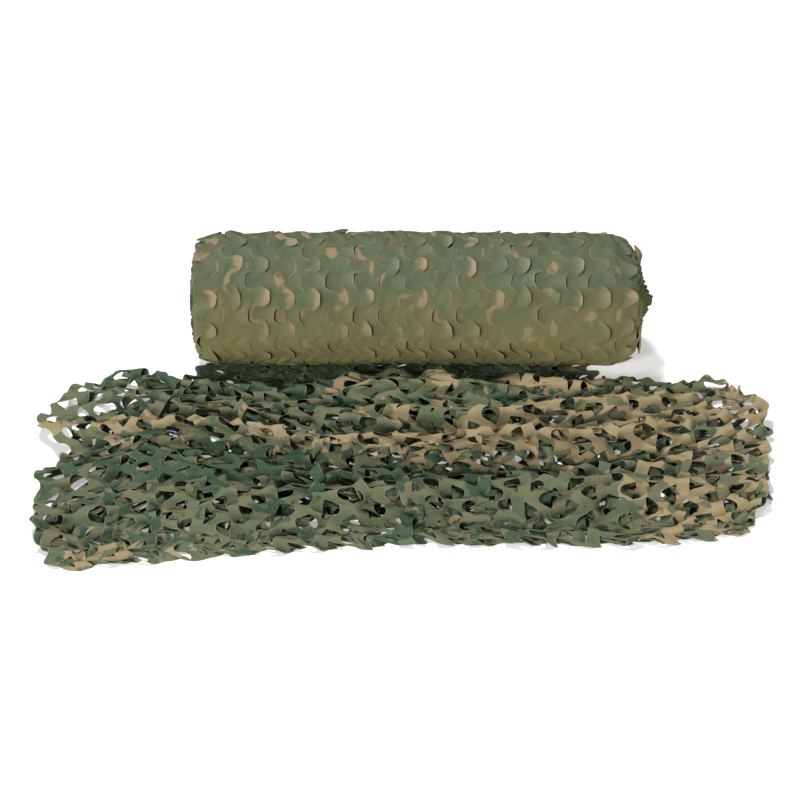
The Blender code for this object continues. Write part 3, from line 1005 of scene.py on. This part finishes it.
# at every cut the left edge stands over the right one, which is pressed down, but less so on top
left_over = per_cut(ROLL_NET, net_random, LEAST_STANDING, 1.0) ** STANDING_POWER
left_over = left_over * (1.0 - TOP_LESS_STANDING * top_tongue)
standing = roll_bends(*ROLL_STANDING, left_over)
gaping = roll_bends(*ROLL_GAPING, left_over)
# the few that stand off, more of them by the ends and on top
everywhere, by_ends, on_top = STRAY_TONGUES
stray_here = per_cut(ROLL_NET, net_random, 0.0, 1.0) < everywhere + by_ends * end_tongue + on_top * top_tongue
stray = stray_here * per_cut(ROLL_NET, net_random, LEAST_STRAY, 1.0)
stray_tongue = stray * (1.0 + STRAY_AT_ENDS * end_tongue)
standing_off = cut_bends(ROLL_NET, stray_tongue, STRAY_HOLLOW * stray, STRAY_SHARPNESS)
puffed = (per_cut(ROLL_NET, net_random, *QUILT_SPREAD) * (1.0 + QUILT_ON_TOP * top_tongue**2))[:-1]
puffed = puffed.repeat(ROLL_NET.rows, axis=1)[:, : roll_u.shape[1]]
roll_lift = (
    ROLL_TONGUE_LIFT * standing
    + STRAY_TONGUE_LIFT * standing_off
    + ROLL_QUILT * smooth_along(puffed, ROLL_NET.rows)[:, :, None] * np.sin(math.pi * roll_share)
    + gathers(roll_u, roll_turn / math.tau, ROLL_LUMPS)
)
askew_along = gathers(roll_u, roll_turn / math.tau, ROLL_ASKEW_ALONG)
askew_round = gathers(roll_u, roll_turn / math.tau, ROLL_ASKEW_ROUND) / ROLL_RADIUS
roll_place = on_roll(roll_u + ROLL_SLIT * gaping + askew_along, roll_turn + askew_round, roll_lift)
# painted highlight on the raised leaf edges and painted shade on the pressed ones
painted_highlight = roll_bends(*ROLL_PAINTED_HIGHLIGHT, left_over)
painted_shade = roll_bends(*ROLL_PAINTED_SHADE, left_over)
roll_painted_relief = ROLL_RELIEF_PAINT[0] * painted_highlight - ROLL_RELIEF_PAINT[1] * painted_shade
low_in_front = np.clip((cut_round - LOW_IN_FRONT[0]) / LOW_IN_FRONT[1], 0.0, 1.0)
everywhere, in_front, by_ends = ROLL_TAN_LEAVES
tan_share = everywhere + in_front * low_in_front + by_ends * end_tongue
tan_leaf = TAN_LEAF * (per_cut(ROLL_NET, net_random, 0.0, 1.0) < tan_share)
leaf_tan = cut_bends(ROLL_NET, tan_leaf, TAN_HOLLOW * tan_leaf, 1.0)
outer_net = (roll_u, roll_v, roll_place)
outer_mesh = net_mesh("net_roll_outer_turn", ROLL_NET, *outer_net, leaf_tan=leaf_tan, painted_relief=roll_painted_relief)
outer_turn = made_piece("net_roll_outer_turn", outer_mesh, (roll_print, back_print, rim_print))
thickened(outer_turn)
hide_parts("net_roll")


# ----------------------------------------------------------------------
# The turns beneath the outer one
#
# The same net, wound on itself so tightly that its turns can't be told apart. They show dark in the outer
# turn's cuts and close the roll behind the selvedges, so they are one plain skin in the colour of the cloth's
# darker back, which also stands as painted shade deep in the cuts and between the turns.

INNER_DROP = 0.006
INNER_REACH = 0.12  # how far they run in over the ends
INNER_RINGS = 61
INNER_STEPS_ROUND = 96


def grid_mesh(name, place, flat, closed_round=False):
    """A mesh of quads over a grid of places, [row, column, xyz], with flat as its UV map cloth, in metres."""
    ids = np.arange(place.shape[0] * place.shape[1]).reshape(place.shape[:2])
    if closed_round:
        ids = np.concatenate((ids, ids[:, :1]), axis=1)
    corners = np.stack((ids[:-1, :-1], ids[:-1, 1:], ids[1:, 1:], ids[1:, :-1]), axis=-1)
    faces = corners.reshape(-1, 4)
    mesh = bpy.data.meshes.new(name)
    mesh.from_pydata(place.reshape(-1, 3), [], faces)
    mesh.uv_layers.new(name="cloth").data.foreach_set("uv", flat.reshape(-1, 2)[faces.ravel()].ravel())
    mesh.polygons.foreach_set("use_smooth", np.ones(len(faces), bool))
    mesh.update()
    return mesh


inner_half = LEFT_END.half + INNER_REACH
inner_u = np.linspace(-inner_half, inner_half, INNER_RINGS)[:, None]
inner_turn = (np.arange(INNER_STEPS_ROUND) * math.tau / INNER_STEPS_ROUND)[None, :]
inner_u, inner_turn = np.broadcast_arrays(inner_u, inner_turn)
inner_mesh = grid_mesh(
    "net_roll_inner_turns",
    on_roll(inner_u, inner_turn, -INNER_DROP),
    np.stack((inner_u, inner_turn * ROLL_RADIUS), axis=-1),
    closed_round=True,
)
# The darker back colour here is partly painted shade in the outer turn's cuts and between the turns.
made_piece("net_roll_inner_turns", inner_mesh, (back_print,))


# ----------------------------------------------------------------------
# The wound selvedges
#
# The two edges of the wound cloth, which show on the roll's ends as ragged layers in a spiral. They are part
# of the same net, with nothing sewn to them. Each is a strip as deep as can be seen between the turns.

END_TURNS = 28
END_STEPS_ROUND = 80
END_DEPTH = 0.045
END_DEPTH_STEPS = 3
END_RAGGED = 0.008  # the leaves of a selvedge stand out and in by up to this much
END_WAVES = (61.0, 23.0, 17.0)  # in radians a metre: a fine wave, a broad one, and one that sways the fine
END_SWAY = 2.0  # by up to so many radians
END_SHIFT = 1.3  # where the broad wave starts, in radians
END_WOBBLES = ((0.0022, 7.0, 1.0), (0.0018, 3.0, 2.0))  # size, waves in a turn, shift from turn to turn
END_CORE_RADIUS = 0.010
END_OUTER_RADIUS = 0.168


def end_place(side, turns, depth):
    """The wound selvedge on one end, side -1 or 1: turns from the middle and depth into the roll.

    The radius grows evenly with the turns and wobbles. The selvedge follows the end's crown and shoulder, and
    three waves along its length, which never fall into step, make it ragged.
    """
    half, shoulder, _, bulge = LEFT_END if side < 0 else RIGHT_END
    flat_to = ROLL_RADIUS - shoulder
    angle = math.tau * turns
    radius = END_CORE_RADIUS + (END_OUTER_RADIUS - END_CORE_RADIUS) * turns / END_TURNS
    crown = bulge * (1.0 - np.clip(radius / flat_to, 0.0, 1.0)) ** CROWN_POWER
    drop = shoulder - np.sqrt(shoulder**2 - np.clip(radius - flat_to, 0.0, shoulder) ** 2)
    length = angle * radius
    fine, broad, swaying = END_WAVES
    sway = END_SWAY * np.sin(swaying * length)
    ragged = np.sin(fine * length + sway) * np.sin(broad * length + END_SHIFT)
    x = half + crown - drop + END_RAGGED * ragged * (1.0 - depth / END_DEPTH) - depth
    radius = radius + sum(size * np.sin(count * angle + shift * turns) for size, count, shift in END_WOBBLES)
    y = radius * np.cos(angle)
    z = ROLL_AXIS_HEIGHT + radius * np.sin(angle)
    return np.stack((ROLL_MIDDLE_X + side * x, ROLL_MIDDLE_Y + y, z), axis=-1)


end_turns = np.linspace(0.0, END_TURNS, END_TURNS * END_STEPS_ROUND + 1)[:, None]
end_depth = np.linspace(0.0, END_DEPTH, END_DEPTH_STEPS + 1)[None, :]
end_turns, end_depth = np.broadcast_arrays(end_turns, end_depth)
for side, end_name in ((-1, "net_roll_left_selvedges"), (1, "net_roll_right_selvedges")):
    place = end_place(side, end_turns, end_depth)
    steps = np.linalg.norm(np.diff(place[:, 0], axis=0), axis=-1)
    wound = np.concatenate(([0.0], np.cumsum(steps)))
    flat = np.stack(np.broadcast_arrays(end_depth, wound[:, None]), axis=-1)
    end_mesh = grid_mesh(end_name, place, flat)
    selvedges = made_piece(end_name, end_mesh, (roll_print, back_print, rim_print))
    thickened(selvedges)


# ----------------------------------------------------------------------
# Floor and light
#
# A white floor that runs out of sight, and three soft lights in an even, pale surround: one high up behind, a
# little to the left, one low in front on the left, and a weaker one on the right.

FLOOR_HALF = 30.0
FLOOR_PAINT = (0.72, 0.72, 0.72, 1.0)
FLOOR_ROUGHNESS = 0.9
FLOOR_GLOW = 0.36  # it also shines a little by itself, as a lit studio table does
WHITE = (1.0, 1.0, 1.0, 1.0)
SURROUND_STRENGTH = 0.17
# name, place, side of its square, power
LIGHTS = (
    ("key", (-2.4, 4.0, 12.0), 1.8, 1600.0),
    ("front", (-8.0, -11.6, 5.4), 2.6, 1800.0),
    ("fill", (9.5, -7.0, 4.0), 4.0, 600.0),
)
LIT_PLACE = Vector((0.0, 0.0, 0.1))  # where they all point

floor_mesh = bpy.data.meshes.new("floor")
floor_mesh.from_pydata(
    [(x * FLOOR_HALF, y * FLOOR_HALF, 0.0) for x, y in ((-1, -1), (1, -1), (1, 1), (-1, 1))],
    [],
    [(0, 1, 2, 3)],
)
floor = placed("floor", floor_mesh)
floor_paint = bpy.data.materials.new("floor")
floor_paint.use_nodes = True
floor_shader = floor_paint.node_tree.nodes["Principled BSDF"]
floor_shader.inputs["Base Color"].default_value = FLOOR_PAINT
floor_shader.inputs["Roughness"].default_value = FLOOR_ROUGHNESS
floor_shader.inputs["Emission Color"].default_value = WHITE
floor_shader.inputs["Emission Strength"].default_value = FLOOR_GLOW
floor_mesh.materials.append(floor_paint)

world = bpy.data.worlds.new("surround")
bpy.context.scene.world = world
world.use_nodes = True
world.node_tree.nodes["Background"].inputs["Color"].default_value = WHITE
world.node_tree.nodes["Background"].inputs["Strength"].default_value = SURROUND_STRENGTH

for name, place, size, power in LIGHTS:
    lamp = bpy.data.lights.new(name, "AREA")
    lamp.shape = "SQUARE"
    lamp.size = size
    lamp.energy = power
    light = placed(name, lamp)
    light.location = place
    light.rotation_euler = (LIT_PLACE - Vector(place)).to_track_quat("-Z", "Y").to_euler()
bpy.context.scene.view_settings.view_transform = "Standard"
